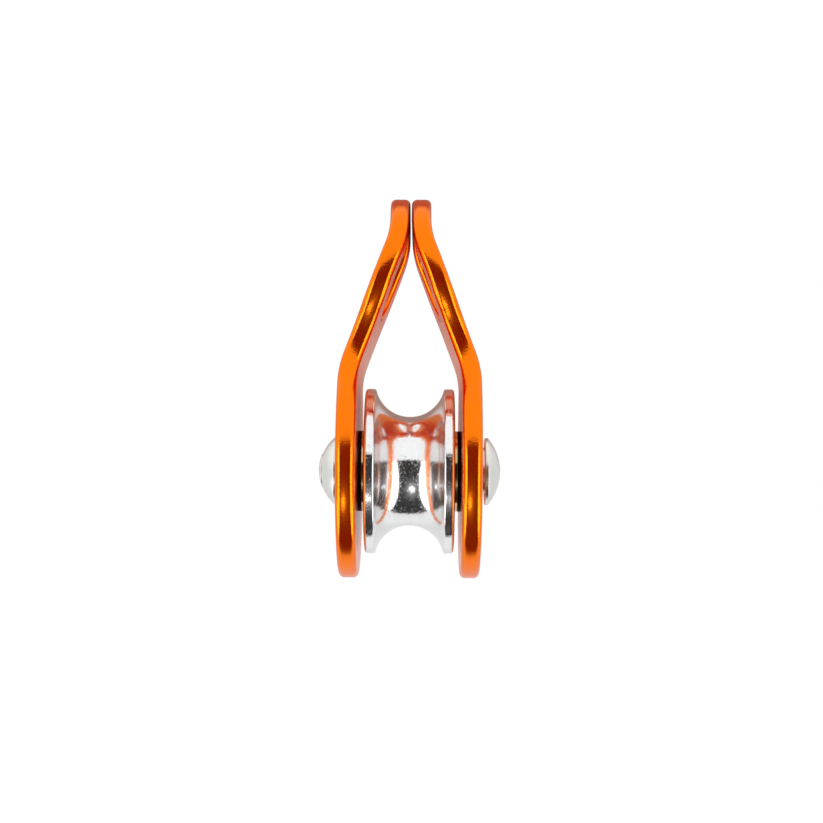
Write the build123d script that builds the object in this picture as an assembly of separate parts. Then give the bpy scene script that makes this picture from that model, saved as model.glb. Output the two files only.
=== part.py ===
"""Swing-cheek rope pulley: two bent side plates, a grooved sheave on a bronze bush, and a riveted axle.

Millimetres. The origin is the centre of the carabiner eye, +X runs along the axle and +Z is up.
Each piece is drawn about the axle's centre and then lowered by AXLE_DROP.
"""

from build123d import *
from build123d.topology import SkipClean

import os
from math import cos, radians, sin, sqrt, tan

# Side plates
PLATE = 4.0  # plate thickness
CHEEK_GAP = 21.0  # between the plates beside the sheave
TOP_GAP = 0.35  # between the plates where they lie together at the top
BEND = radians(20.5)  # how far each plate leans in above the sheave
BEND_R = 18.0  # of both bends, to the middle of the plate
BEND_FOOT = 17.1  # the lower bend starts this far above the axle
LOWER_LOBE_R, LOWER_LOBE_Z = 23.55, 1.35  # outline around the sheave: radius, height of its centre
UPPER_LOBE_R, UPPER_LOBE_Z = 17.4, 39.6  # outline around the eye
WAIST_R = 15.0  # hollow between the two lobes
PLATE_EDGE = 1.1  # rounding of the plate's outer edges
AXLE_DROP = 41.25  # from the eye's centre down to the axle
EYE_R = 9.0  # carabiner eye
EYE_EDGE = 0.8  # rounding of its rims
AXLE_HOLE_EDGE = 0.3  # chamfer

# Sheave and bush
SHEAVE_R = 17.15
SHEAVE_WIDTH = 18.4
TREAD_R = 11.34  # at the bottom of the groove
GROOVE_R = 7.25  # suits ropes up to 13 mm
RIM_EDGE = 0.65  # rounding of the rims' outer corners
LIP_EDGE = 0.45  # rounding where the groove meets the rims
BUSH_R = 8.4
BUSH_LENGTH = 19.92
BUSH_EDGE = 0.12  # chamfer

# Thrust washers
WASHER_R = 8.4
WASHER = 0.5  # thickness

# Axle
AXLE_R = 5.0  # outside of the sleeve
BUSH_PLAY = 0.04  # radial play of the sleeve in the bush
CHEEK_PLAY = 0.08  # radial play of the sleeve in the side plates and washers
AXLE_LEFT, AXLE_RIGHT = -15.0, 15.65  # the sleeve's ends, which the heads bear on
SHANK_R = 3.0
SHANK_PLAY = 0.05  # radial play of the rivet in the sleeve
HEAD_R = 7.0
HEAD_RIM = 0.65  # straight height of a head's rim
RIGHT_DOME = 2.6  # height above the rim
LEFT_DOME = 3.2
STEM_END_R = 3.4  # formed end of the rivet on the left cap
STEM_END = 0.15  # how far it stands proud of the cap


def strip_face(offset):
    """Edges of one face of the bent strip in the XZ plane, from the bottom up."""
    low_x, top_x = (CHEEK_GAP + PLATE) / 2, (TOP_GAP + PLATE) / 2
    run = (low_x - top_x - 2 * BEND_R * (1 - cos(BEND))) / tan(BEND)
    bend_head = BEND_FOOT + run + 2 * BEND_R * sin(BEND)
    low_r, top_r = BEND_R + offset, BEND_R - offset

    def low(a):
        return Vector(low_x - BEND_R + low_r * cos(a), 0, BEND_FOOT + low_r * sin(a))

    def top(a):
        return Vector(top_x + BEND_R - top_r * cos(a), 0, bend_head - top_r * sin(a))

    return [
        Edge.make_line(low(0) - Vector(0, 0, 50), low(0)),
        Edge.make_three_point_arc(low(0), low(BEND / 2), low(BEND)),
        Edge.make_line(low(BEND), top(BEND)),
        Edge.make_three_point_arc(top(BEND), top(BEND / 2), top(0)),
        Edge.make_line(top(0), top(0) + Vector(0, 0, 15)),
    ]


def bent_strip():
    """The right-hand plate's thickness and bends, wider and longer than the plate."""
    outer, inner = strip_face(PLATE / 2), strip_face(-PLATE / 2)
    ends = [Edge.make_line(outer[0] @ 0, inner[0] @ 0), Edge.make_line(outer[-1] @ 1, inner[-1] @ 1)]
    return extrude(Face(Wire(outer + inner + ends)), amount=30, dir=(0, 1, 0), both=True)


def outline():
    """The plate's outline seen along the axle, extruded over the right-hand half."""
    rise = UPPER_LOBE_Z - LOWER_LOBE_Z
    low, high = LOWER_LOBE_R + WAIST_R, UPPER_LOBE_R + WAIST_R
    up = (low**2 - high**2 + rise**2) / (2 * rise)
    waist_y, waist_z = sqrt(low**2 - up**2), LOWER_LOBE_Z + up
    waist = Vector(0, waist_y, waist_z)
    centre = {LOWER_LOBE_R: Vector(0, 0, LOWER_LOBE_Z), UPPER_LOBE_R: Vector(0, 0, UPPER_LOBE_Z)}

    def touch(radius, side=1):
        """Where a lobe meets the hollow on one side."""
        p = centre[radius] + (waist - centre[radius]).normalized() * radius
        return Vector(0, side * p.Y, p.Z)

    def hollow(side):
        narrowest = Vector(0, side * (waist_y - WAIST_R), waist_z)
        return Edge.make_three_point_arc(touch(LOWER_LOBE_R, side), narrowest, touch(UPPER_LOBE_R, side))

    def lobe(radius, end_z):
        return Edge.make_three_point_arc(touch(radius), Vector(0, 0, end_z), touch(radius, -1))

    edges = [lobe(LOWER_LOBE_R, LOWER_LOBE_Z - LOWER_LOBE_R), hollow(-1)]
    edges += [lobe(UPPER_LOBE_R, UPPER_LOBE_Z + UPPER_LOBE_R), hollow(1)]
    return extrude(Face(Wire(edges)), amount=30, dir=(1, 0, 0))


def faces_the_side(face):
    return abs(face.normal_at().X) < 1e-4


def eye_cutter():
    """The eye's bore as an upper and a lower half, so that each half of its wall is a face of its own."""
    bore = Cylinder(EYE_R, 80, rotation=(0, 90, 0))
    halves = [bore & Pos(0, 0, s * 20) * Box(100, 40, 40) for s in (-1, 1)]
    return [Pos(0, 0, AXLE_DROP) * half for half in halves]


def side_plate():
    """The right-hand plate, about the axle's centre."""
    plate = bent_strip() & outline()
    rim = [e for f in plate.faces().filter_by(faces_the_side) for e in f.edges()]
    plate = fillet([e for e in rim if sum(e.is_same(other) for other in rim) == 1], PLATE_EDGE)
    plate -= Cylinder(AXLE_R + CHEEK_PLAY, 80, rotation=(0, 90, 0))
    hole_rims = plate.edges().filter_by(GeomType.CIRCLE)
    hole_rims = hole_rims.filter_by(lambda e: abs(e.radius - AXLE_R - CHEEK_PLAY) < 1e-4)
    plate = chamfer(hole_rims, AXLE_HOLE_EDGE)
    with SkipClean():
        for half in eye_cutter():
            plate = plate - half
    wall = plate.faces().filter_by(is_eye_wall)
    wall_edges = [e for f in wall for e in f.edges()]
    return plate.fillet(EYE_EDGE, [e for e in wall_edges if sum(e.is_same(o) for o in wall_edges) == 1])


def is_eye_wall(face):
    if face.geom_type != GeomType.CYLINDER or not faces_the_side(face):
        return False
    c = face.center(CenterOf.MASS)
    return abs(c.Z - AXLE_DROP) < EYE_R and abs(c.Y) < 1


def turned(*edges):
    """A solid turned about the axle from an outline in the XZ plane."""
    return revolve(Face(Wire(list(edges))), axis=Axis.X)


def path(*points):
    """Straight edges between (x, radius) points."""
    return list(Polyline(*[(x, 0, r) for x, r in points]).edges())


def tube(x0, x1, outer_r, inner_r):
    return turned(*path((x0, inner_r), (x0, outer_r), (x1, outer_r), (x1, inner_r), (x0, inner_r)))


def sheave():
    half = SHEAVE_WIDTH / 2
    lip_x = sqrt(GROOVE_R**2 - (TREAD_R + GROOVE_R - SHEAVE_R) ** 2)
    groove = Edge.make_three_point_arc((lip_x, 0, SHEAVE_R), (0, 0, TREAD_R), (-lip_x, 0, SHEAVE_R))
    left = path((-lip_x, SHEAVE_R), (-half, SHEAVE_R), (-half, BUSH_R), (half, BUSH_R))
    right = path((half, BUSH_R), (half, SHEAVE_R), (lip_x, SHEAVE_R))
    wheel = turned(groove, *left, *right)
    circles = wheel.edges().filter_by(GeomType.CIRCLE).filter_by(lambda e: e.radius > SHEAVE_R - 0.1)
    wheel = fillet(circles.filter_by(lambda e: abs(abs(e.center().X) - half) < 0.1), RIM_EDGE)
    circles = wheel.edges().filter_by(GeomType.CIRCLE).filter_by(lambda e: e.radius > SHEAVE_R - 0.1)
    return fillet(circles.filter_by(lambda e: abs(abs(e.center().X) - lip_x) < 0.01), LIP_EDGE)


def bronze_bush():
    bush = tube(-BUSH_LENGTH / 2, BUSH_LENGTH / 2, BUSH_R, AXLE_R + BUSH_PLAY)
    return chamfer(bush.edges().filter_by(GeomType.CIRCLE), BUSH_EDGE)


def thrust_washer(side):
    inner_x = CHEEK_GAP / 2 - WASHER - 0.02
    washer = tube(inner_x, inner_x + WASHER, WASHER_R, AXLE_R + CHEEK_PLAY)
    return washer if side > 0 else mirror(washer, Plane.YZ)


def axle_sleeve():
    return tube(AXLE_LEFT, AXLE_RIGHT, AXLE_R, SHANK_R + SHANK_PLAY)


def dome_arc(x, r, height, side, r_end=0.0):
    """Arc of a dome that stands height above (x, r) on the axis, from radius r in to r_end."""
    sphere = (r**2 + height**2) / (2 * height)
    centre = x + side * (height - sphere)

    def at(q):
        return centre + side * sqrt(sphere**2 - q**2), 0, q

    return Edge.make_three_point_arc(at(r), at((r + r_end) / 2), at(r_end))


def left_cap_flat():
    """Where the left dome meets the formed end of the rivet."""
    return (dome_arc(AXLE_LEFT - HEAD_RIM, HEAD_R, LEFT_DOME, -1, STEM_END_R) @ 1).X


def axle_rivet():
    """Smooth domed head on the right, shank through the sleeve and cap, and a low formed end on the left."""
    rim_x = AXLE_RIGHT + HEAD_RIM
    flat_x = left_cap_flat()
    end = Vector(flat_x - STEM_END, 0, STEM_END_R)
    formed = dome_arc(end.X, STEM_END_R, 0.62, -1)
    head = dome_arc(rim_x, HEAD_R, RIGHT_DOME, 1)
    shank = path((rim_x, HEAD_R), (AXLE_RIGHT, HEAD_R), (AXLE_RIGHT, SHANK_R), (flat_x, SHANK_R))
    step = path((flat_x, SHANK_R), (flat_x, STEM_END_R), (end.X, STEM_END_R))
    axis = Edge.make_line(formed @ 1, head @ 1)
    return turned(head, *shank, *step, formed, axis)


def left_dome_cap():
    rim_x, flat_x = AXLE_LEFT - HEAD_RIM, left_cap_flat()
    dome = dome_arc(rim_x, HEAD_R, LEFT_DOME, -1, STEM_END_R)
    rest = path(
        (flat_x, STEM_END_R), (flat_x, SHANK_R), (AXLE_LEFT, SHANK_R), (AXLE_LEFT, HEAD_R), (rim_x, HEAD_R)
    )
    return turned(dome, *rest)


def main():
    right = side_plate()
    pieces = {
        "right_side_plate": right,
        "left_side_plate": mirror(right, Plane.YZ),
        "sheave": sheave(),
        "bronze_bush": bronze_bush(),
        "left_thrust_washer": thrust_washer(-1),
        "right_thrust_washer": thrust_washer(1),
        "axle_sleeve": axle_sleeve(),
        "axle_rivet": axle_rivet(),
        "left_dome_cap": left_dome_cap(),
    }
    os.makedirs("parts", exist_ok=True)
    for name, piece in pieces.items():
        piece = Pos(0, 0, -AXLE_DROP) * piece
        solid = piece.solids()[0]
        solid.label = name
        print(name, len(piece.solids()), round(solid.volume, 2), solid.is_valid)
        export_step(solid, f"parts/{name}.step")


main()
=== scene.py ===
from math import acos, cos, pi, radians, sin, sqrt, tan

import bpy
import numpy as np
from bpy.props import FloatProperty, FloatVectorProperty, IntProperty, PointerProperty
from mathutils import Matrix, Vector
from mathutils.geometry import delaunay_2d_cdt


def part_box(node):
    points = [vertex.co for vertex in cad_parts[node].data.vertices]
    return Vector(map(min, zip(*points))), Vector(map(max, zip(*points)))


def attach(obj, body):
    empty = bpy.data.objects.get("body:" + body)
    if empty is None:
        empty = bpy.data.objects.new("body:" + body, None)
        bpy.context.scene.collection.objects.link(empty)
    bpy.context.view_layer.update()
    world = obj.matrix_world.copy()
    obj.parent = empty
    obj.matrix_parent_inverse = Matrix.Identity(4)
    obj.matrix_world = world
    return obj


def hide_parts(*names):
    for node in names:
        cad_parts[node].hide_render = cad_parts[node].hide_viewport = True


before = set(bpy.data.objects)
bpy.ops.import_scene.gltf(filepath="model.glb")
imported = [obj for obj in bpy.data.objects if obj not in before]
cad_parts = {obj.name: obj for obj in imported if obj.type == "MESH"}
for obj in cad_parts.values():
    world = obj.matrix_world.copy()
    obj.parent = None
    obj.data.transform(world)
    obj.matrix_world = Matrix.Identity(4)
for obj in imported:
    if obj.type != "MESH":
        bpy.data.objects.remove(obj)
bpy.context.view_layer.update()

bl_info = {
    "name": "Rope pulley",
    "version": (1, 0, 0),
    "blender": (4, 5, 0),
    "location": "3D View > Sidebar > Pulley",
    "description": "Builds a swing-cheek rope pulley and its studio",
    "category": "Add Mesh",
}

MM = 0.001
EYE_TO_AXLE = Vector((0, 0, (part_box("sheave")[0].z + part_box("sheave")[1].z) / 2))
LEFT, RIGHT = -1, 1
CROWN = 0.1  # share of a right angle by which a wall's shading turns outwards at its rims


def size(name, description, default_mm):
    """A length property, given here in millimetres and kept in metres."""
    return FloatProperty(
        name=name, description=description, default=default_mm * MM, min=0.0, unit="LENGTH", precision=5
    )


def spot(name, description, default_mm):
    """A length property that may be negative, given in millimetres."""
    return FloatProperty(
        name=name, description=description, default=default_mm * MM, unit="LENGTH", precision=5
    )


def angle(name, description, degrees):
    """An angle property, given in degrees."""
    return FloatProperty(
        name=name, description=description, default=radians(degrees), subtype="ANGLE"
    )


def strength(name, description, default):
    return FloatProperty(name=name, description=description, default=default, min=0.0)


def tint(name, description, colour):
    return FloatVectorProperty(
        name=name, description=description, default=colour, size=3, min=0.0, max=1.0, subtype="COLOR"
    )


class PlateSizes(bpy.types.PropertyGroup):
    thickness: size("Thickness", "Plate thickness", 4.0)
    cheek_gap: size("Cheek gap", "Space between the plates beside the sheave", 21.0)
    top_gap: size("Top gap", "Space between the plates at the top", 0.35)
    lean: angle("Lean", "How far each plate leans in", 20.5)
    bend_radius: size("Bend radius", "Radius of both bends at mid thickness", 18.0)
    bend_foot: size("Bend foot", "Height of the lower bend above the axle", 17.1)
    lower_radius: size("Lower lobe", "Outline radius around the sheave", 23.55)
    lower_height: size("Lower lobe height", "Centre of the lower lobe above the axle", 1.35)
    upper_radius: size("Upper lobe", "Outline radius around the eye", 17.4)
    upper_height: size("Upper lobe height", "Centre of the upper lobe above the axle", 39.6)
    waist_radius: size("Waist", "Radius of the hollow between the lobes", 15.0)
    edge_round: size("Edge rounding", "Rounding of the outer edges", 1.1)
    eye_radius: size("Eye radius", "Radius of the carabiner eye", 9.0)
    eye_round: size("Eye rounding", "Rounding of the eye's rims", 0.8)
    hole_radius: size("Axle hole", "Radius of the axle hole", 5.08)
    hole_round: size("Axle hole rounding", "Rounding of the axle hole's rims", 0.3)


class WheelSizes(bpy.types.PropertyGroup):
    radius: size("Sheave radius", "Outer radius of the sheave", 17.15)
    width: size("Sheave width", "Width over the rims", 18.4)
    tread_radius: size("Tread radius", "Sheave radius at the bottom of the groove", 11.34)
    groove_radius: size("Groove radius", "Radius of the groove's half-round", 7.25)
    rim_round: size("Rim rounding", "Rounding of the outer rim corners", 0.65)
    lip_round: size("Lip rounding", "Rounding where groove and rim meet", 0.45)
    bush_radius: size("Bush radius", "Outer radius of the bush", 8.4)
    bush_length: size("Bush length", "Length of the bush", 19.92)
    bush_bore: size("Bush bore", "Inner radius of the bush", 5.04)
    washer_radius: size("Washer radius", "Outer radius of the thrust washers", 8.4)
    washer_bore: size("Washer bore", "Inner radius of the thrust washers", 5.08)
    washer_thickness: size("Washer thickness", "Thickness of the thrust washers", 0.5)
    washer_start: size("Washer place", "Inner face of a washer from the middle", 9.98)
    facets: IntProperty(
        name="Facets", description="Facets around a turned piece", default=256, min=24, max=512
    )


class AxleSizes(bpy.types.PropertyGroup):
    sleeve_radius: size("Sleeve radius", "Outer radius of the sleeve", 5.0)
    sleeve_bore: size("Sleeve bore", "Inner radius of the sleeve", 3.05)
    left_reach: size("Left reach", "Sleeve end from the middle, left", 15.0)
    right_reach: size("Right reach", "Sleeve end from the middle, right", 15.65)
    shank_radius: size("Shank radius", "Radius of the rivet's shank", 3.0)
    head_radius: size("Head radius", "Radius of both heads", 7.0)
    head_rim: size("Head rim", "Straight height of a head's rim", 0.65)
    right_dome: size("Right dome", "Height of the right dome above its rim", 2.6)
    left_dome: size("Left dome", "Height the left dome would have above its rim", 3.2)
    end_radius: size("Formed end", "Radius of the rivet's formed end", 3.4)
    end_edge: size("Formed end edge", "How far the formed end stands out of the cap", 0.15)
    end_dome: size("Formed end dome", "Height of the formed end's own dome", 0.62)


class Finishes(bpy.types.PropertyGroup):
    anodised: tint("Anodised", "Dyed aluminium of the plates", (0.98, 0.24, 0.004))
    dye: tint("Dye", "Red glow of the dye in the plates' skin", (0.9, 0.01, 0.0))
    polished: tint("Polished", "Bare polished aluminium", (0.86, 0.865, 0.87))
    bronze: tint("Bronze", "Oiled bronze", (0.9, 0.62, 0.34))
    polymer: tint("Polymer", "Black washers", (0.012, 0.012, 0.012))
    stainless: tint("Stainless", "Satin stainless steel", (0.84, 0.84, 0.8))


class StageSettings(bpy.types.PropertyGroup):
    eye_x: spot("Camera X", "Camera place along the axle", 2.437)
    eye_y: spot("Camera Y", "Camera place across the plates", -340.95)
    eye_z: spot("Camera Z", "Camera place above the axle", -6.089)
    yaw: FloatProperty(name="Yaw", description="Camera turn", default=-0.00624, subtype="ANGLE")
    pitch: FloatProperty(name="Pitch", description="Camera tilt", default=0.054464, subtype="ANGLE")
    roll: FloatProperty(name="Roll", description="Camera roll", default=0.00652, subtype="ANGLE")
    lens: FloatProperty(
        name="Lens", description="Focal length on a 36 mm sensor", default=71.242, unit="CAMERA"
    )
    floor_drop: size("Floor drop", "Floor below the eye", 350.0)
    top_light: strength("Top light", "Strength of the light overhead", 1.1)
    strip_light: strength("Strip lights", "Strength of the front strips", 3.2)
    back_light: strength("Surround", "Strength of the pale surround", 0.82)
    dark: strength("Dark", "Level of the unlit room in front", 0.025)
    lamp: strength("Lamp", "Strength of the small lamp in front", 5.0)
    lamp_bearing: angle("Lamp bearing", "Turn of the lamp from the camera's side", -10.5)
    lamp_height: angle("Lamp height", "Angle of the lamp above level", -39)
    lamp_spread: angle("Lamp spread", "Angle over which the lamp fades", 4.8)
    glow: strength("Glow", "Strength of the glow around the lamp", 0.4)
    glow_spread: angle("Glow spread", "Angle over which the glow fades", 16)


# ---------------------------------------------------------------- meshes


def new_piece(name, mesh, body, node, material):
    """Puts a finished mesh in the scene as the visible form of one CAD node."""
    piece = bpy.data.objects.new(name, mesh)
    bpy.context.scene.collection.objects.link(piece)
    mesh.materials.clear()
    mesh.materials.append(material)
    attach(piece, body)
    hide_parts(node)
    return piece


class BentStrip:
    """The bent sheet that a plate is cut from. s runs up its middle from the axle's height, w across it."""

    def __init__(self, p):
        self.p = p
        self.low_x = (p.cheek_gap + p.thickness) / 2
        self.top_x = (p.top_gap + p.thickness) / 2
        r, a = p.bend_radius, p.lean
        slope = (self.low_x - self.top_x - 2 * r * (1 - cos(a))) / sin(a)
        self.s1 = p.bend_foot
        self.s2 = self.s1 + r * a
        self.s3 = self.s2 + slope
        self.s4 = self.s3 + r * a
        self.z4 = self.s1 + 2 * r * sin(a) + slope * cos(a)
        self.table = np.linspace(-40, 80, 24001) * MM

    def lean(self, s):
        r, a = self.p.bend_radius, self.p.lean
        return np.clip((s - self.s1) / r, 0, a) - np.clip((s - self.s3) / r, 0, a)

    def place(self, s, w):
        """x and z at distance s along and w outwards from the middle."""
        r, a = self.p.bend_radius, self.p.lean
        lean = self.lean(s)
        low = np.minimum(s, self.s1)
        first = np.clip(s - self.s1, 0, r * a) / r
        straight = np.clip(s - self.s2, 0, self.s3 - self.s2)
        last = np.clip(s - self.s3, 0, r * a) / r
        high = np.maximum(s - self.s4, 0)
        x = self.low_x - r * (1 - np.cos(first)) - straight * sin(a) - r * (np.cos(a - last) - cos(a))
        z = low + r * np.sin(first) + straight * cos(a) + r * (sin(a) - np.sin(a - last)) + high
        return x + w * np.cos(lean), z + w * np.sin(lean)

    def find(self, z, w):
        """s of the point at height z and offset w."""
        return np.interp(z, self.place(self.table, w)[1], self.table)


def plate_outline(p, step):
    """Points and outward normals of the plate's outline seen along the axle, anticlockwise in y and z."""
    rise = p.upper_height - p.lower_height
    low, high = p.lower_radius + p.waist_radius, p.upper_radius + p.waist_radius
    up = (low**2 - high**2 + rise**2) / (2 * rise)
    waist_y, waist_z = sqrt(low**2 - up**2), p.lower_height + up
    half_low = np.arctan2(up, waist_y)
    half_high = np.arctan2(waist_z - p.upper_height, waist_y)

    def arc(y, z, r, a0, a1, out):
        n = max(8, int(abs(a1 - a0) * r / step))
        a = np.linspace(a0, a1, n, endpoint=False)
        d = np.stack([np.cos(a), np.sin(a)], 1)
        return np.array([y, z]) + r * d, out * d

    arcs = [
        arc(0, p.lower_height, p.lower_radius, -pi - half_low, half_low, 1),
        arc(waist_y, waist_z, p.waist_radius, pi + half_low, pi + half_high, -1),
        arc(0, p.upper_height, p.upper_radius, half_high, pi - half_high, 1),
        arc(-waist_y, waist_z, p.waist_radius, -half_high, -half_low, -1),
    ]
    return np.concatenate([a[0] for a in arcs]), np.concatenate([a[1] for a in arcs])


def hole_outline(z, radius, step):
    """Points and normals of a hole's wall, the normals pointing out of the metal."""
    a = np.linspace(0, -2 * pi, max(48, int(2 * pi * radius / step)), endpoint=False)
    d = np.stack([np.cos(a), np.sin(a)], 1)
    return np.array([0, z]) + radius * d, -d


def inside(points, loop):
    """Which points lie inside a closed loop."""
    a, b = loop, np.roll(loop, -1, axis=0)
    x, y = points[:, :1], points[:, 1:]
    crosses = (a[:, 1] > y) != (b[:, 1] > y)
    with np.errstate(divide="ignore", invalid="ignore"):
        at = a[:, 0] + (y - a[:, 1]) * (b[:, 0] - a[:, 0]) / (b[:, 1] - a[:, 1])
    return ((x < at) & crosses).sum(1) % 2 == 1


def rolled_edge(strip, points, normals, radius, turns):
    """Rings of a wall along x with both of its rims rounded, from the outer face to the inner one.

    The shading turns the wall outwards towards its rims by CROWN, as tumbling leaves it.

    Returns each ring's points and normals, and the place (y, s) of the two rings that lie on the faces.
    """
    rings, places = [], []
    half = strip.p.thickness / 2
    wall = np.stack([np.zeros(len(normals)), normals[:, 0], normals[:, 1]], 1)
    inner_points = points - radius * normals
    for side in (1, -1):
        w = side * (half - radius)
        s = strip.find(inner_points[:, 1], w)
        x, _ = strip.place(s, w)
        centre = np.stack([x, inner_points[:, 0], inner_points[:, 1]], 1)
        lean = strip.lean(s)
        face = side * np.stack([np.cos(lean), np.zeros(len(s)), np.sin(lean)], 1)
        gap = np.arccos(np.clip((face * wall).sum(1), -1, 1))[:, None]
        arc = []
        for t in np.linspace(0, 1, turns + 1):
            d = (np.sin((1 - t) * gap) * face + np.sin(t * gap) * wall) / np.sin(gap)
            t *= 1 - CROWN
            crowned = (np.sin((1 - t) * gap) * face + np.sin(t * gap) * wall) / np.sin(gap)
            arc.append((centre + radius * d, crowned))
        rings += arc if side == 1 else arc[::-1]
        places.append(np.stack([inner_points[:, 0], s], 1))
    return rings, places


def face_grid(strip, outer_loop, holes, clear):
    """Points inside a plate's face, with closer rows where it bends."""
    bends = [(strip.s1, strip.s2), (strip.s3, strip.s4)]
    spacing = 1.6
    rows = np.arange(-24, 66, spacing) * MM
    for start, end in bends:
        rows = rows[(rows < start - MM) | (rows > end + MM)]
    extra = [np.linspace(start - 0.2 * MM, end + 0.2 * MM, 17) for start, end in bends]
    ys = np.arange(-23.2, 23.3, spacing) * MM
    shift = spacing / 2 * MM
    grid = np.array(
        [(y, s) for i, s in enumerate(np.concatenate([rows, *extra])) for y in ys + (shift if i % 2 else 0)]
    )
    keep = inside(grid, outer_loop)
    for loop in holes:
        keep &= ~inside(grid, loop)
    grid = grid[keep]
    edge = np.concatenate([outer_loop] + holes)
    gap = np.sqrt(((grid[:, None] - edge[None]) ** 2).sum(2)).min(1)
    return grid[gap > clear]


def plate_mesh(p, side):
    strip = BentStrip(p)
    edges = [
        (*plate_outline(p, 0.36 * MM), p.edge_round, 10),
        (*hole_outline(-EYE_TO_AXLE.z, p.eye_radius, 0.36 * MM), p.eye_round, 8),
        (*hole_outline(0.0, p.hole_radius, 0.4 * MM), p.hole_round, 4),
    ]
    points, normals, faces, polish = [], [], [], []
    count = 0
    loops = {0: [], 1: []}
    for outline, out, radius, turns in edges:
        rings, places = rolled_edge(strip, outline, out, radius, turns)
        n = len(outline)
        for k, (position, normal) in enumerate(rings):
            points.append(position)
            normals.append(normal)
            polish.append(np.full(n, 0.0 if k in (0, len(rings) - 1) else 1.0))
        for r in range(len(rings) - 1):
            i = np.arange(n)
            j = (i + 1) % n
            a, b = count + r * n, count + (r + 1) * n
            faces += [tuple(q) for q in np.stack([a + i, a + j, b + j, b + i], 1).tolist()]
        loops[0].append((count + np.arange(n), places[0]))
        loops[1].append((count + (len(rings) - 1) * n + np.arange(n), places[1]))
        count += len(rings) * n
    for which, w in ((0, p.thickness / 2), (1, -p.thickness / 2)):
        rim = loops[which]
        grid = face_grid(strip, rim[0][1], [r[1] for r in rim[1:]], 0.5 * MM)
        flat = np.concatenate([r[1] for r in rim] + [grid])
        ids = np.concatenate([r[0] for r in rim] + [count + np.arange(len(grid))])
        segments, start = [], 0
        for _, place in rim:
            n = len(place)
            segments += [(start + i, start + (i + 1) % n) for i in range(n)]
            start += n
        x, z = strip.place(grid[:, 1], w)
        lean = strip.lean(grid[:, 1])
        sign = 1 if w > 0 else -1
        points.append(np.stack([x, grid[:, 0], z], 1))
        normals.append(sign * np.stack([np.cos(lean), np.zeros(len(x)), np.sin(lean)], 1))
        polish.append(np.zeros(len(x)))
        count += len(grid)
        scaled = [Vector((y * 1000, s * 1000)) for y, s in flat]
        made = delaunay_2d_cdt(scaled, segments, [], 0, 1e-7)
        origin = [o[0] for o in made[3]]
        tris = np.array([[origin[i] for i in f] for f in made[2]])
        middle = flat[tris].mean(1)
        keep = inside(middle, rim[0][1])
        for _, place in rim[1:]:
            keep &= ~inside(middle, place)
        faces += [tuple(t) for t in ids[tris[keep]].tolist()]
    points, normals = np.concatenate(points), np.concatenate(normals)
    points[:, 2] += EYE_TO_AXLE.z
    points[:, 0] *= side
    normals[:, 0] *= side
    mesh = finished_mesh("plate", points, faces, normals)
    mesh.attributes.new("polish", "FLOAT", "POINT").data.foreach_set("value", np.concatenate(polish))
    return mesh


def finished_mesh(name, points, faces, normals):
    """A mesh whose faces all agree with the given point normals, which it keeps for shading."""
    turned = []
    for f in faces:
        a, b, c = points[f[0]], points[f[1]], points[f[2]]
        n = np.cross(b - a, c - a)
        turned.append(f if n @ (normals[f[0]] + normals[f[1]] + normals[f[2]]) > 0 else f[::-1])
    mesh = bpy.data.meshes.new(name)
    mesh.from_pydata(points.tolist(), [], turned)
    mesh.validate()
    mesh.polygons.foreach_set("use_smooth", [True] * len(mesh.polygons))
    mesh.normals_split_custom_set_from_vertices(normals.tolist())
    mesh.update()
    return mesh


# ---------------------------------------------------------------- turned pieces


def turning_tree():
    """Turns a profile about the axle: its x is the distance from the path, its y runs along the axle."""
    tree = bpy.data.node_groups.get("Turned piece")
    if tree:
        return tree
    tree = bpy.data.node_groups.new("Turned piece", "GeometryNodeTree")
    for name, kind in (
        ("Profile", "NodeSocketGeometry"),
        ("Facets", "NodeSocketInt"),
        ("Path radius", "NodeSocketFloat"),
        ("Axle height", "NodeSocketFloat"),
        ("Seam", "NodeSocketFloat"),
        ("Finish", "NodeSocketMaterial"),
    ):
        tree.interface.new_socket(name, in_out="INPUT", socket_type=kind)
    tree.interface.new_socket("Piece", in_out="OUTPUT", socket_type="NodeSocketGeometry")
    given = tree.nodes.new("NodeGroupInput")
    link = tree.links.new

    circle = tree.nodes.new("GeometryNodeCurvePrimitiveCircle")
    link(given.outputs["Facets"], circle.inputs["Resolution"])
    link(given.outputs["Path radius"], circle.inputs["Radius"])
    sweep = tree.nodes.new("GeometryNodeCurveToMesh")
    link(circle.outputs["Curve"], sweep.inputs["Curve"])
    link(given.outputs["Profile"], sweep.inputs["Profile Curve"])
    weld = tree.nodes.new("GeometryNodeMergeByDistance")
    link(sweep.outputs["Mesh"], weld.inputs["Geometry"])
    link(given.outputs["Seam"], weld.inputs["Distance"])
    height = tree.nodes.new("ShaderNodeCombineXYZ")
    link(given.outputs["Axle height"], height.inputs["Z"])
    lay = tree.nodes.new("GeometryNodeTransform")
    lay.inputs["Rotation"].default_value = (0, -pi / 2, 0)
    link(weld.outputs["Geometry"], lay.inputs["Geometry"])
    link(height.outputs["Vector"], lay.inputs["Translation"])
    smooth = tree.nodes.new("GeometryNodeSetShadeSmooth")
    link(lay.outputs["Geometry"], smooth.inputs["Geometry"])
    real = tree.nodes.new("GeometryNodeRealizeInstances")
    link(smooth.outputs["Geometry"], real.inputs["Geometry"])
    finish = tree.nodes.new("GeometryNodeSetMaterial")
    link(real.outputs["Geometry"], finish.inputs["Geometry"])
    link(given.outputs["Finish"], finish.inputs["Material"])
    made = tree.nodes.new("NodeGroupOutput")
    link(finish.outputs["Geometry"], made.inputs["Piece"])
    return tree


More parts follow.
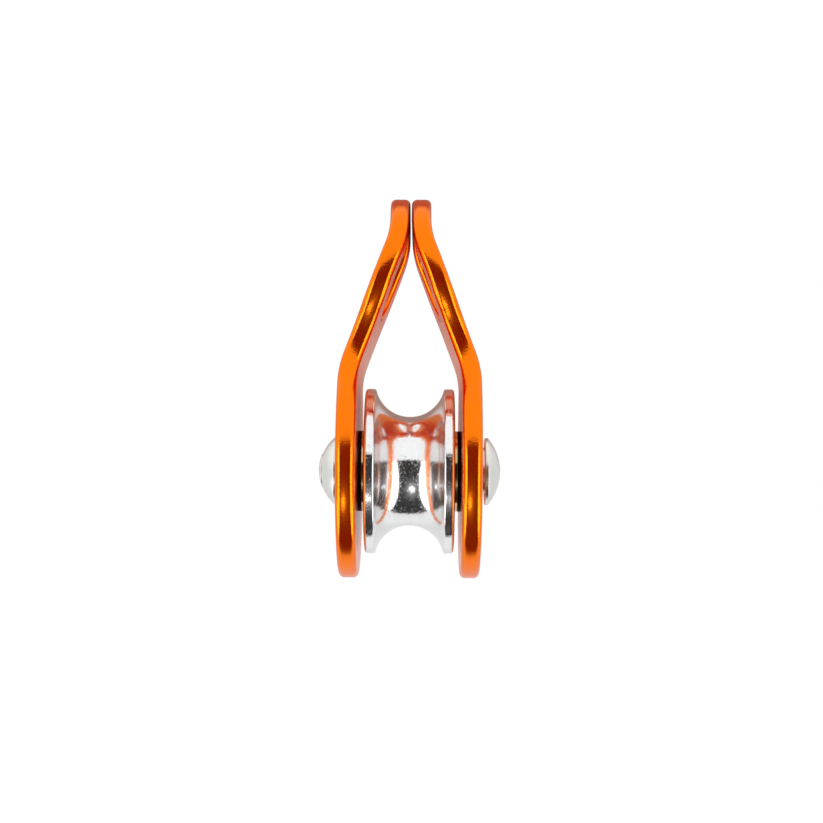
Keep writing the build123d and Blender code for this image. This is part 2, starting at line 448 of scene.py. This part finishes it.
def turned_mesh(name, profile, closed, facets, material):
    """Mesh of a piece turned about the axle from (x, radius) points that run towards +x on its outside."""
    swing = 10 * MM
    curve = bpy.data.curves.new(name, "CURVE")
    curve.dimensions = "3D"
    spline = curve.splines.new("POLY")
    spline.points.add(len(profile) - 1)
    spline.points.foreach_set("co", [c for x, r in profile for c in (r - swing, x, 0, 1)])
    spline.use_cyclic_u = closed
    shaper = bpy.data.objects.new(name, curve)
    bpy.context.scene.collection.objects.link(shaper)
    turning = shaper.modifiers.new("Turned piece", "NODES")
    turning.node_group = turning_tree()
    sockets = {s.name: s.identifier for s in turning.node_group.interface.items_tree if s.in_out == "INPUT"}
    values = {
        "Facets": facets,
        "Path radius": swing,
        "Axle height": EYE_TO_AXLE.z,
        "Seam": 0.0008 * MM,
        "Finish": material,
    }
    for socket, value in values.items():
        turning[sockets[socket]] = value
    made = shaper.evaluated_get(bpy.context.evaluated_depsgraph_get())
    mesh = bpy.data.meshes.new_from_object(made)
    bpy.data.objects.remove(shaper)
    bpy.data.curves.remove(curve)
    return mesh


def arc(x, r, radius, start, end, steps):
    """Points of an arc about (x, r), its angles measured from +x towards larger r."""
    return [(x + radius * cos(a), r + radius * sin(a)) for a in np.linspace(start, end, steps + 1)]


def cornered(points, closed=True, corner=0.03 * MM):
    """A profile with its corners (x, radius, rounding) rounded, and a point close beside each rounding."""
    made = []
    n = len(points)
    for i, (x, r, rounding) in enumerate(points):
        here = np.array([x, r])
        if not closed and i in (0, n - 1):
            made.append(here)
            continue
        before, after = (np.array(points[k][:2]) - here for k in ((i - 1) % n, (i + 1) % n))
        before, after = before / np.linalg.norm(before), after / np.linalg.norm(after)
        rounding = rounding or corner
        half = acos(np.clip(before @ after, -1, 1)) / 2
        reach = rounding / tan(half)
        centre = here + (before + after) / np.linalg.norm(before + after) * rounding / sin(half)
        a0, a1 = (np.arctan2(*(here + d * reach - centre)[::-1]) for d in (before, after))
        swept = (a1 - a0 + pi) % (2 * pi) - pi
        steps = max(2, int(abs(swept) / radians(9))) if rounding > 0.05 * MM else 2
        aside = min(0.12 * MM, rounding)
        made.append(here + before * (reach + aside))
        bend = np.linspace(a0, a0 + swept, steps + 1)
        made += [centre + rounding * np.array([cos(a), sin(a)]) for a in bend]
        made.append(here + after * (reach + aside))
    return [tuple(p) for p in made]


def dome(x, radius, height, side, end_radius, steps):
    """Points of a dome's arc that stands on (x, radius), from end_radius out to its rim."""
    sphere = (radius**2 + height**2) / (2 * height)
    centre = x + side * (height - sphere)
    return [(centre + side * sqrt(sphere**2 - q**2), q) for q in np.linspace(end_radius, radius, steps + 1)]


def sheave_profile(p):
    half, top = p.width / 2, p.tread_radius + p.groove_radius
    lip_r = p.radius - p.lip_round
    lip_x = sqrt((p.groove_radius + p.lip_round) ** 2 - (top - lip_r) ** 2)
    lean = np.arctan2(top - lip_r, lip_x)
    rim, bore = (-half, p.radius, p.rim_round), (-half, p.bush_radius, 0)
    side = cornered([(0, p.radius, 0), rim, bore, (0, p.bush_radius, 0)], closed=False)[::-1]
    left = side[:-1] + [(-lip_x - 0.12 * MM, p.radius)] + arc(-lip_x, lip_r, p.lip_round, pi / 2, lean, 9)
    groove = arc(0, top, p.groove_radius, pi + lean, 2 * pi - lean, 72)
    right = [(-x, r) for x, r in left[::-1]]
    return (left[:-1] + groove + right[1:])[1:-1] + [(0, p.bush_radius)]


def ring_profile(x0, x1, outer, inner, rounding):
    """A plain ring from x0 to x1 with all four corners rounded."""
    corners = ((x0, inner), (x0, outer), (x1, outer), (x1, inner))
    return cornered([(x, r, rounding) for x, r in corners])


def left_cap_flat(p):
    """Where the left dome meets the formed end of the rivet."""
    return dome(-p.left_reach - p.head_rim, p.head_radius, p.left_dome, -1, p.end_radius, 1)[0][0]


def rivet_profile(p):
    flat_x, rim_x = left_cap_flat(p), p.right_reach + p.head_rim
    end_x = flat_x - p.end_edge
    formed = dome(end_x, p.end_radius, p.end_dome, -1, 0, 16)
    head = dome(rim_x, p.head_radius, p.right_dome, 1, 0, 40)
    edge = 0.1 * MM
    corners = cornered(
        [
            (*formed[-2], 0),
            (end_x, p.end_radius, edge / 2),
            (flat_x, p.end_radius, 0),
            (flat_x, p.shank_radius, 0),
            (p.right_reach, p.shank_radius, 0),
            (p.right_reach, p.head_radius, edge),
            (rim_x, p.head_radius, 1.5 * edge),
            (*head[-2], 0),
        ],
        closed=False,
    )
    return formed[:-2] + corners + head[:-2][::-1]


def cap_profile(p):
    flat_x, rim_x = left_cap_flat(p), -p.left_reach - p.head_rim
    top = dome(rim_x, p.head_radius, p.left_dome, -1, p.end_radius, 28)
    edge = 0.1 * MM
    corners = cornered(
        [
            (*top[-2], 0),
            (rim_x, p.head_radius, 1.5 * edge),
            (-p.left_reach, p.head_radius, edge),
            (-p.left_reach, p.shank_radius, 0),
            (flat_x, p.shank_radius, 0),
            (flat_x, p.end_radius, 0),
        ],
        closed=False,
    )
    return corners + top[1:-2]


# ---------------------------------------------------------------- finishes


class Finish:
    """Builds a metal or plastic finish from nodes on Object coordinates."""

    def __init__(self, name, **values):
        self.material = bpy.data.materials.new(name)
        self.material.use_nodes = True
        self.tree = self.material.node_tree
        self.shader = self.tree.nodes["Principled BSDF"]
        self.place = self.node("ShaderNodeTexCoord").outputs["Object"]
        for socket, value in values.items():
            self.shader.inputs[socket.replace("_", " ")].default_value = value

    def node(self, kind, settings=None, **inputs):
        made = self.tree.nodes.new(kind)
        for key, value in (settings or {}).items():
            setattr(made, key, value)
        for key, value in inputs.items():
            key = int(key[1:]) if key[0] == "i" and key[1:].isdigit() else key.replace("_", " ")
            if isinstance(value, bpy.types.NodeSocket):
                self.tree.links.new(value, made.inputs[key])
            else:
                made.inputs[key].default_value = value
        return made

    def math(self, operation, a, b=0.0):
        return self.node("ShaderNodeMath", {"operation": operation}, i0=a, i1=b).outputs[0]

    def grain(self, place, scale, detail=2.0, roughness=0.5):
        """Noise between 0 and 1, scale in cells to the metre."""
        noise = self.node("ShaderNodeTexNoise", Vector=place, Scale=scale, Detail=detail, Roughness=roughness)
        return noise.outputs["Fac"]

    def spread(self, value, low, high, to_low, to_high):
        """Maps low..high to to_low..to_high smoothly."""
        inputs = {"Value": value, "From_Min": low, "From_Max": high, "To_Min": to_low, "To_Max": to_high}
        smooth = {"interpolation_type": "SMOOTHSTEP"}
        return self.node("ShaderNodeMapRange", smooth, **inputs).outputs["Result"]

    def about_axle(self):
        """Coordinates about the axle: along it, out from it, and a short way round it."""
        lowered = self.node("ShaderNodeMapping", Vector=self.place, Location=-EYE_TO_AXLE)
        centred = lowered.outputs["Vector"]
        flattened = self.node("ShaderNodeVectorMath", {"operation": "MULTIPLY"}, i0=centred, i1=(0, 1, 1))
        flat = flattened.outputs["Vector"]
        out = self.node("ShaderNodeVectorMath", {"operation": "LENGTH"}, i0=flat).outputs["Value"]
        parts = self.node("ShaderNodeSeparateXYZ", Vector=centred)
        return parts.outputs["X"], out, flat

    def turned(self, stretch):
        """Coordinates in which noise makes fine lines round the axle, stretch times as long as wide."""
        along, out, flat = self.about_axle()
        round_it = self.node("ShaderNodeVectorMath", {"operation": "NORMALIZE"}, i0=flat).outputs["Vector"]
        parts = self.node("ShaderNodeSeparateXYZ", Vector=round_it)
        round_way = self.math("ADD", parts.outputs["Y"], parts.outputs["Z"])
        long_way = self.math("MULTIPLY", round_way, 6 * MM / stretch)
        return self.node("ShaderNodeCombineXYZ", X=along, Y=out, Z=long_way).outputs["Vector"]

    def bump(self, height, distance_mm, strength=1.0):
        bump = self.node("ShaderNodeBump", Height=height, Distance=distance_mm * MM, Strength=strength)
        if self.shader.inputs["Normal"].links:
            self.tree.links.new(self.shader.inputs["Normal"].links[0].from_socket, bump.inputs["Normal"])
        self.tree.links.new(bump.outputs["Normal"], self.shader.inputs["Normal"])

    def colour(self, amount, light, dark):
        mix = self.node("ShaderNodeMix", {"data_type": "RGBA"}, Factor=amount)
        mix.inputs["A"].default_value = (*dark, 1)
        mix.inputs["B"].default_value = (*light, 1)
        self.tree.links.new(mix.outputs["Result"], self.shader.inputs["Base Color"])

    def over(self, amount, colour):
        """Lays another colour over the base colour by amount."""
        mix = self.node("ShaderNodeMix", {"data_type": "RGBA"}, Factor=amount)
        self.tree.links.new(self.shader.inputs["Base Color"].links[0].from_socket, mix.inputs["A"])
        mix.inputs["B"].default_value = (*colour, 1)
        self.tree.links.new(mix.outputs["Result"], self.shader.inputs["Base Color"])

    def undertone(self, colour, share):
        """Lets a share of soft, scattered colour show under the gloss."""
        soft = self.node("ShaderNodeBsdfDiffuse", Color=(*colour, 1))
        gloss = self.shader.outputs["BSDF"]
        both = self.node("ShaderNodeMixShader", i0=share, i1=gloss, i2=soft.outputs["BSDF"])
        surface = self.tree.nodes["Material Output"].inputs["Surface"]
        self.tree.links.new(both.outputs["Shader"], surface)

    def set(self, socket, value):
        self.tree.links.new(value, self.shader.inputs[socket])


def shaded(colour, factor):
    return tuple(min(1.0, c * factor) for c in colour)


def anodised(tints):
    """Dyed aluminium: satin faces, polished edges, hairline scratches, and painted shade where the plates
    meet.
    """
    f = Finish("Anodised orange", Metallic=1.0, Coat_Roughness=0.14, Coat_IOR=1.5)
    edge = f.node("ShaderNodeAttribute", {"attribute_name": "polish"}).outputs["Fac"]
    cloud = f.grain(f.place, 90, 3)
    f.colour(f.spread(cloud, 0.3, 0.7, 0, 1), tints.anodised, shaded(tints.anodised, 0.95))
    across = f.node("ShaderNodeSeparateXYZ", Vector=f.place).outputs["X"]
    # Painted shade: where the plates meet at the top, the base colour darkens to a fifth. The skin there is
    # also rougher and has no coat.
    painted_gap_shade = f.spread(f.math("ABSOLUTE", across), 0.3 * MM, 0.9 * MM, 1, 0)
    f.over(painted_gap_shade, shaded(tints.anodised, 0.2))
    outside_gap = f.math("SUBTRACT", 1.0, painted_gap_shade)
    f.set("Coat Weight", f.math("MULTIPLY", f.spread(edge, 0, 1, 0.75, 0.05), outside_gap))
    stretched = {"Rotation": (0.3, 0.2, 0.1), "Scale": (1, 1, 0.06)}
    long_way = f.node("ShaderNodeMapping", Vector=f.place, **stretched).outputs["Vector"]
    hairlines = f.spread(f.grain(long_way, 5200, 2), 0.62, 0.78, 0, 1)
    uneven = f.spread(f.grain(f.place, 420, 4), 0.3, 0.7, -0.02, 0.03)
    gap_rough_and_hairlines = f.math("ADD", f.math("MULTIPLY", painted_gap_shade, 0.3), f.math("MULTIPLY", hairlines, 0.05))
    f.set("Roughness", f.math("ADD", f.math("ADD", f.spread(edge, 0, 1, 0.34, 0.16), uneven), gap_rough_and_hairlines))
    f.bump(f.grain(f.place, 260, 2), 0.012, 0.35)
    f.bump(f.grain(f.place, 3000, 1, 0.6), 0.02)
    f.bump(hairlines, 0.001, 0.5)
    f.undertone(tints.dye, 0.2)
    return f.material


def polished(tints):
    """Bare aluminium turned and buffed: it mirrors sharply round the axle, softly along it."""
    f = Finish("Polished aluminium", Metallic=0.97, Anisotropic=0.75, Anisotropic_Rotation=0.25)
    round_axle = f.node("ShaderNodeTangent", {"direction_type": "RADIAL", "axis": "X"})
    f.set("Tangent", round_axle.outputs["Tangent"])
    rings = f.grain(f.turned(60), 9000, 3, 0.6)
    pits = f.grain(f.place, 2600, 1, 0.6)
    specks = f.spread(pits, 0.6, 0.7, 0, 1)
    f.colour(f.spread(rings, 0.3, 0.7, 0, 1), tints.polished, shaded(tints.polished, 0.93))
    buffed = f.spread(rings, 0.3, 0.75, 0.09, 0.13)
    f.set("Roughness", f.math("ADD", buffed, f.math("MULTIPLY", specks, 0.08)))
    f.bump(rings, 0.003)
    f.bump(pits, 0.011)
    f.bump(specks, 0.011)
    return f.material


def bronze(tints):
    """Oiled bronze with turned rings and darker, browner patches."""
    f = Finish("Oiled bronze", Metallic=1.0)
    rings = f.grain(f.turned(40), 7000, 3, 0.6)
    patches = f.spread(f.grain(f.place, 700, 4), 0.35, 0.65, 0, 1)
    f.colour(f.math("MULTIPLY", patches, rings), tints.bronze, shaded(tints.bronze, 0.6))
    f.set("Roughness", f.spread(rings, 0.3, 0.7, 0.08, 0.14))
    f.bump(rings, 0.001)
    return f.material


def polymer(tints):
    """Matt black moulded washer with a fine grain."""
    f = Finish("Black polymer", Specular_IOR_Level=0.35)
    grain = f.grain(f.place, 5200, 4, 0.6)
    f.colour(grain, shaded(tints.polymer, 1.6), tints.polymer)
    f.set("Roughness", f.spread(grain, 0.3, 0.7, 0.55, 0.7))
    f.bump(grain, 0.006, 0.7)
    return f.material


def stainless(tints):
    """Stainless steel turned to a satin finish, with handling marks."""
    f = Finish("Satin stainless", Metallic=1.0)
    rings = f.grain(f.turned(30), 6500, 4, 0.65)
    marks = f.spread(f.grain(f.place, 1500, 3, 0.6), 0.6, 0.72, 0, 1)
    f.colour(f.spread(rings, 0.25, 0.75, 0, 1), tints.stainless, shaded(tints.stainless, 0.9))
    satin = f.spread(rings, 0.3, 0.7, 0.27, 0.36)
    f.set("Roughness", f.math("ADD", satin, f.math("MULTIPLY", marks, 0.1)))
    f.bump(rings, 0.002, 0.6)
    f.bump(marks, 0.002, 0.4)
    return f.material


def pale_floor():
    """Plain pale card with a faint glow of its own."""
    glow = {"Emission_Color": (1, 1, 1, 1), "Emission_Strength": 0.2}
    f = Finish("Pale floor", Roughness=0.9, Specular_IOR_Level=0.1, **glow)
    f.colour(f.grain(f.place, 6, 3), (0.92, 0.92, 0.92), (0.9, 0.9, 0.9))
    f.bump(f.grain(f.place, 900, 2), 0.05, 0.2)
    return f.material


def direction_to(bearing, height):
    """Direction of a light from the pulley, its bearing turned to the right from the camera's side."""
    return Vector((sin(bearing) * cos(height), -cos(bearing) * cos(height), sin(height)))


# ---------------------------------------------------------------- operators


class BuildSidePlates(bpy.types.Operator):
    """Both bent side plates, each cut from one rounded outline"""

    bl_idname = "pulley.side_plates"
    bl_label = "Side plates"

    def execute(self, context):
        material = anodised(context.scene.pulley_finishes)
        for side, name in ((LEFT, "left"), (RIGHT, "right")):
            mesh = plate_mesh(context.scene.pulley_plates, side)
            node = f"{name}_side_plate"
            new_piece(f"{name}_plate", mesh, f"{name}_cheek", node, material)
        return {"FINISHED"}


class BuildWheel(bpy.types.Operator):
    """The grooved sheave and the bronze bush it turns on"""

    bl_idname = "pulley.wheel"
    bl_label = "Sheave and bush"

    def execute(self, context):
        p, tints = context.scene.pulley_wheel, context.scene.pulley_finishes
        metal = polished(tints)
        mesh = turned_mesh("sheave", sheave_profile(p), True, p.facets, metal)
        new_piece("grooved_sheave", mesh, "wheel", "sheave", metal)
        metal = bronze(tints)
        profile = ring_profile(-p.bush_length / 2, p.bush_length / 2, p.bush_radius, p.bush_bore, 0.12 * MM)
        mesh = turned_mesh("bush", profile, True, p.facets, metal)
        new_piece("turned_bush", mesh, "wheel", "bronze_bush", metal)
        return {"FINISHED"}


class BuildThrustWashers(bpy.types.Operator):
    """The thin black washers between the bush and the plates"""

    bl_idname = "pulley.thrust_washers"
    bl_label = "Thrust washers"

    def execute(self, context):
        p = context.scene.pulley_wheel
        material = polymer(context.scene.pulley_finishes)
        for side, name in ((LEFT, "left"), (RIGHT, "right")):
            x0, x1 = sorted((side * p.washer_start, side * (p.washer_start + p.washer_thickness)))
            profile = ring_profile(x0, x1, p.washer_radius, p.washer_bore, 0.08 * MM)
            mesh = turned_mesh("washer", profile, True, p.facets, material)
            node = f"{name}_thrust_washer"
            new_piece(f"{name}_washer", mesh, f"{name}_washer", node, material)
        return {"FINISHED"}


class BuildAxle(bpy.types.Operator):
    """The sleeve, the domed rivet through it and the cap under the rivet's formed end"""

    bl_idname = "pulley.axle"
    bl_label = "Axle"

    def execute(self, context):
        p, facets = context.scene.pulley_axle, context.scene.pulley_wheel.facets
        metal = stainless(context.scene.pulley_finishes)
        sleeve = ring_profile(-p.left_reach, p.right_reach, p.sleeve_radius, p.sleeve_bore, 0.08 * MM)
        for name, node, profile, closed in (
            ("sleeve", "axle_sleeve", sleeve, True),
            ("rivet", "axle_rivet", rivet_profile(p), False),
            ("cap", "left_dome_cap", cap_profile(p), True),
        ):
            mesh = turned_mesh(name, profile, closed, facets, metal)
            new_piece(f"turned_{name}", mesh, "axle", node, metal)
        return {"FINISHED"}


# The light tent's zones in degrees. The first four are turned round the axle, up from level in front.
OVERHEAD = 23, 140
UNLIT = -103, 23
NEAR_FLOOR = -140, -103
HIGH_BEHIND = 122, 178
STRIPS = 33, 62
BESIDE = 66
STRIPS_LEVEL = -38  # where the upright strips come nearest to the middle
STRIPS_BOW = 0.13
WARM = 1.0, 0.6, 0.5


class BuildStudio(bpy.types.Operator):
    """Camera, pale floor and the soft lights around the pulley"""

    bl_idname = "pulley.studio"
    bl_label = "Studio"

    def execute(self, context):
        p = context.scene.pulley_stage
        self.camera(context.scene, p)
        self.floor(context.scene, p)
        self.lights(context.scene, p)
        context.scene.view_settings.view_transform = "Standard"
        context.scene.view_settings.look = "None"
        return {"FINISHED"}

    def camera(self, scene, p):
        data = bpy.data.cameras.new("Camera")
        data.sensor_width = 36
        data.lens = p.lens
        data.clip_start, data.clip_end = 0.01, 20
        level_x = Vector((cos(p.yaw), -sin(p.yaw), 0))
        level_y = Vector((sin(p.yaw), cos(p.yaw), 0))
        ahead = cos(p.pitch) * level_y + sin(p.pitch) * Vector((0, 0, 1))
        upright = -sin(p.pitch) * level_y + cos(p.pitch) * Vector((0, 0, 1))
        right = cos(p.roll) * level_x + sin(p.roll) * upright
        up = -sin(p.roll) * level_x + cos(p.roll) * upright
        camera = bpy.data.objects.new("Camera", data)
        scene.collection.objects.link(camera)
        turn = Matrix((right, up, -ahead)).transposed().to_4x4()
        camera.matrix_world = Matrix.Translation(EYE_TO_AXLE + Vector((p.eye_x, p.eye_y, p.eye_z))) @ turn
        scene.camera = camera

    def floor(self, scene, p):
        mesh = bpy.data.meshes.new("Floor")
        r, z = 6.0, -p.floor_drop
        mesh.from_pydata([(-r, -r, z), (r, -r, z), (r, r, z), (-r, r, z)], [], [(0, 1, 2, 3)])
        mesh.materials.append(pale_floor())
        floor = bpy.data.objects.new("Floor", mesh)
        floor.visible_glossy = False
        scene.collection.objects.link(floor)

    def lights(self, scene, p):
        """A light tent: open overhead and behind, unlit in front below, with two upright strips beside it."""
        world = bpy.data.worlds.new("Light tent")
        world.use_nodes = True
        scene.world = world
        tree = world.node_tree
        tree.nodes.clear()
        link = tree.links.new

        def math(operation, a, b=0.0, c=0.0):
            made = tree.nodes.new("ShaderNodeMath")
            made.operation = operation
            for socket, value in zip(made.inputs, (a, b, c)):
                if isinstance(value, bpy.types.NodeSocket):
                    link(value, socket)
                else:
                    socket.default_value = value
            return made.outputs[0]

        def step(value, at, soft):
            """0 below the angle at, 1 above it, soft degrees wide."""
            made = tree.nodes.new("ShaderNodeMapRange")
            made.interpolation_type = "SMOOTHSTEP"
            link(value, made.inputs["Value"])
            made.inputs["From Min"].default_value = radians(at - soft / 2)
            made.inputs["From Max"].default_value = radians(at + soft / 2)
            return made.outputs["Result"]

        def band(value, low, high, soft):
            return math("MULTIPLY", step(value, low, soft), math("SUBTRACT", 1.0, step(value, high, soft)))

        def blend(amount, below, above):
            return math("MULTIPLY_ADD", amount, math("SUBTRACT", above, below), below)

        direction = tree.nodes.new("ShaderNodeTexCoord").outputs["Generated"]
        parts = tree.nodes.new("ShaderNodeSeparateXYZ")
        link(direction, parts.inputs[0])
        x, y, z = parts.outputs
        round_x = math("ARCTAN2", z, math("MULTIPLY", y, -1.0))
        aside = math("ARCSINE", math("ABSOLUTE", x))

        overhead = band(round_x, *OVERHEAD, 4)
        unlit = band(round_x, *UNLIT, 4)
        near_floor = band(round_x, *NEAR_FLOOR, 25)
        middle = math("SUBTRACT", 1.0, step(aside, 25, 16))
        high_behind = math("MULTIPLY", band(round_x, *HIGH_BEHIND, 10), middle)
        off_level = math("SUBTRACT", round_x, radians(STRIPS_LEVEL))
        bow = math("MULTIPLY", math("MULTIPLY", off_level, off_level), STRIPS_BOW)
        strips = math("MULTIPLY", band(math("SUBTRACT", aside, bow), *STRIPS, 5), unlit)
        beside = math("MULTIPLY", step(aside, BESIDE, 6), unlit)
        level = blend(near_floor, p.back_light, p.back_light * 1.2)
        level = blend(unlit, level, p.dark)
        level = blend(overhead, level, p.top_light)
        level = blend(high_behind, level, p.back_light * 0.48)
        level = blend(beside, level, p.back_light)
        level = blend(strips, level, p.strip_light)
        lamp = tree.nodes.new("ShaderNodeVectorMath")
        lamp.operation = "DOT_PRODUCT"
        link(direction, lamp.inputs[0])
        lamp.inputs[1].default_value = direction_to(p.lamp_bearing, p.lamp_height)
        off_lamp = math("SUBTRACT", lamp.outputs["Value"], 1.0)
        for strength, spread in ((p.lamp, p.lamp_spread), (p.glow, p.glow_spread)):
            fall = math("EXPONENT", math("MULTIPLY", off_lamp, 2 / spread**2))
            level = math("ADD", level, math("MULTIPLY", fall, strength))

        seen = tree.nodes.new("ShaderNodeLightPath").outputs["Is Camera Ray"]
        warmth = tree.nodes.new("ShaderNodeMix")
        warmth.data_type = "RGBA"
        warmth.inputs["A"].default_value = (1, 1, 1, 1)
        warmth.inputs["B"].default_value = (*WARM, 1)
        link(math("MULTIPLY", high_behind, math("SUBTRACT", 1.0, seen)), warmth.inputs["Factor"])
        tent = tree.nodes.new("ShaderNodeBackground")
        link(warmth.outputs["Result"], tent.inputs["Color"])
        link(blend(seen, level, 1.0), tent.inputs["Strength"])
        made = tree.nodes.new("ShaderNodeOutputWorld")
        link(tent.outputs["Background"], made.inputs["Surface"])


class PulleyPanel(bpy.types.Panel):
    """Lists the pulley's pieces and their sizes"""

    bl_idname = "VIEW3D_PT_pulley"
    bl_label = "Rope pulley"
    bl_space_type = "VIEW_3D"
    bl_region_type = "UI"
    bl_category = "Pulley"

    def draw(self, context):
        for operator, group in PIECES:
            box = self.layout.box()
            box.operator(operator.bl_idname)
            if group:
                settings = getattr(context.scene, group)
                for name in settings.__annotations__:
                    box.prop(settings, name)
        for name in context.scene.pulley_finishes.__annotations__:
            self.layout.prop(context.scene.pulley_finishes, name)


PIECES = (
    (BuildSidePlates, "pulley_plates"),
    (BuildWheel, "pulley_wheel"),
    (BuildThrustWashers, None),
    (BuildAxle, "pulley_axle"),
    (BuildStudio, "pulley_stage"),
)
SETTINGS = {
    "pulley_plates": PlateSizes,
    "pulley_wheel": WheelSizes,
    "pulley_axle": AxleSizes,
    "pulley_finishes": Finishes,
    "pulley_stage": StageSettings,
}


def register():
    for group in SETTINGS.values():
        bpy.utils.register_class(group)
    for name, group in SETTINGS.items():
        setattr(bpy.types.Scene, name, PointerProperty(type=group))
    for operator, _ in PIECES:
        bpy.utils.register_class(operator)
    bpy.utils.register_class(PulleyPanel)


def unregister():
    bpy.utils.unregister_class(PulleyPanel)
    for operator, _ in reversed(PIECES):
        bpy.utils.unregister_class(operator)
    for name, group in SETTINGS.items():
        delattr(bpy.types.Scene, name)
        bpy.utils.unregister_class(group)


def main():
    register()
    bpy.ops.pulley.side_plates()
    bpy.ops.pulley.wheel()
    bpy.ops.pulley.thrust_washers()
    bpy.ops.pulley.axle()
    bpy.ops.pulley.studio()


if __name__ == "__main__":
    main()
